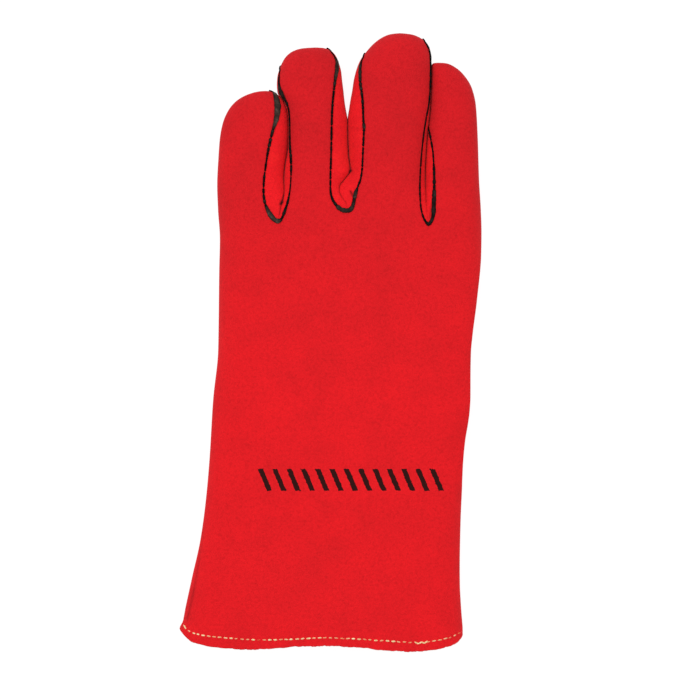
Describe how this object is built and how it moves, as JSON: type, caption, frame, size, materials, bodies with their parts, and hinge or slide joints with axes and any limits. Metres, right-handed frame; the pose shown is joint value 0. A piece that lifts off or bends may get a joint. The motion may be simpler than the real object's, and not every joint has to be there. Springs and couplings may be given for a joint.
{
  "type": "welding gauntlet glove",
  "caption": "Left-hand leather welding gauntlet with a flared open cuff, welted fingers, a tucked set-in thumb and a stitched hem.",
  "frame": {"origin": "middle of the footprint, on the surface the glove lies on, palm down", "axes": "+Y from the cuff to the fingertips, +X towards the index finger's side, +Z out of the back of the hand"},
  "size_m": [0.1729, 0.3556, 0.0278],
  "materials": {
    "red_suede": "matte split-leather suede",
    "red_suede_bright": "matte split-leather suede, a little brighter",
    "black_welt": "dull black leather piping",
    "fleece_lining": "soft cotton fleece",
    "canvas_lining": "plain woven canvas",
    "cream_thread": "twisted heat-resistant thread",
    "label_tape": "blank woven tape"
  },
  "bodies": {
    "hand": {"back_panel": "red_suede", "palm_panel": "red_suede", "cuff_front_panel": "red_suede", "hand_lining": "fleece_lining", "cuff_lining": "canvas_lining", "fourchette_crotch_little_ring": "red_suede_bright", "fourchette_crotch_ring_middle": "red_suede_bright", "fourchette_crotch_middle_index": "red_suede_bright", "crotch_welts": "black_welt", "thumb_seam_welt": "black_welt", "hem_stitches": "cream_thread", "size_label": "label_tape"},
    "little_base": {"little_base_back": "red_suede", "little_base_palm": "red_suede", "little_base_fourchettes": "red_suede_bright", "little_base_welts": "black_welt", "little_base_lining": "fleece_lining"},
    "little_tip": {"little_tip_back": "red_suede", "little_tip_palm": "red_suede", "little_tip_fourchettes": "red_suede_bright", "little_tip_welts": "black_welt", "little_tip_lining": "fleece_lining"},
    "ring_base": {"ring_base_back": "red_suede", "ring_base_palm": "red_suede", "ring_base_fourchettes": "red_suede_bright", "ring_base_welts": "black_welt", "ring_base_lining": "fleece_lining"},
    "ring_tip": {"ring_tip_back": "red_suede", "ring_tip_palm": "red_suede", "ring_tip_fourchettes": "red_suede_bright", "ring_tip_welts": "black_welt", "ring_tip_lining": "fleece_lining"},
    "middle_base": {"middle_base_back": "red_suede", "middle_base_palm": "red_suede", "middle_base_fourchettes": "red_suede_bright", "middle_base_welts": "black_welt", "middle_base_lining": "fleece_lining"},
    "middle_tip": {"middle_tip_back": "red_suede", "middle_tip_palm": "red_suede", "middle_tip_fourchettes": "red_suede_bright", "middle_tip_welts": "black_welt", "middle_tip_lining": "fleece_lining"},
    "index_base": {"index_base_back": "red_suede", "index_base_palm": "red_suede", "index_base_fourchettes": "red_suede_bright", "index_base_welts": "black_welt", "index_base_lining": "fleece_lining"},
    "index_tip": {"index_tip_back": "red_suede", "index_tip_palm": "red_suede", "index_tip_fourchettes": "red_suede_bright", "index_tip_welts": "black_welt", "index_tip_lining": "fleece_lining"},
    "thumb": {"thumb_back_panel": "red_suede", "thumb_front_panel": "red_suede", "thumb_side_welt": "black_welt", "thumb_lining": "fleece_lining"}
  },
  "joints": [
    {"name": "little_knuckle", "type": "hinge", "parent": "hand", "child": "little_base", "pos_m": [-0.04635, 0.078, 0], "axis": [-1, 0, 0], "range_deg": [0, 60]},
    {"name": "little_middle_bend", "type": "hinge", "parent": "little_base", "child": "little_tip", "pos_m": [-0.04635, 0.108, 0], "axis": [-1, 0, 0], "range_deg": [0, 66]},
    {"name": "ring_knuckle", "type": "hinge", "parent": "hand", "child": "ring_base", "pos_m": [-0.00905, 0.078, 0], "axis": [-1, 0, 0], "range_deg": [0, 60]},
    {"name": "ring_middle_bend", "type": "hinge", "parent": "ring_base", "child": "ring_tip", "pos_m": [-0.00905, 0.119, 0], "axis": [-1, 0, 0], "range_deg": [0, 66]},
    {"name": "middle_knuckle", "type": "hinge", "parent": "hand", "child": "middle_base", "pos_m": [0.03325, 0.078, 0], "axis": [-1, 0, 0], "range_deg": [0, 60]},
    {"name": "middle_middle_bend", "type": "hinge", "parent": "middle_base", "child": "middle_tip", "pos_m": [0.03325, 0.123, 0], "axis": [-1, 0, 0], "range_deg": [0, 66]},
    {"name": "index_knuckle", "type": "hinge", "parent": "hand", "child": "index_base", "pos_m": [0.07155, 0.078, 0], "axis": [-1, 0, 0], "range_deg": [0, 60]},
    {"name": "index_middle_bend", "type": "hinge", "parent": "index_base", "child": "index_tip", "pos_m": [0.07155, 0.115, 0], "axis": [-1, 0, 0], "range_deg": [0, 66]},
    {"name": "thumb_swing", "type": "hinge", "parent": "hand", "child": "thumb", "pos_m": [0.054, -0.0478, 0], "axis": [0, 0, -1], "range_deg": [0, 50]}
  ],
  "couplings": [
    {"joint": "little_middle_bend", "follows": "little_knuckle", "ratio": 1.1},
    {"joint": "ring_middle_bend", "follows": "ring_knuckle", "ratio": 1.1},
    {"joint": "middle_middle_bend", "follows": "middle_knuckle", "ratio": 1.1},
    {"joint": "index_middle_bend", "follows": "index_knuckle", "ratio": 1.1}
  ]
}
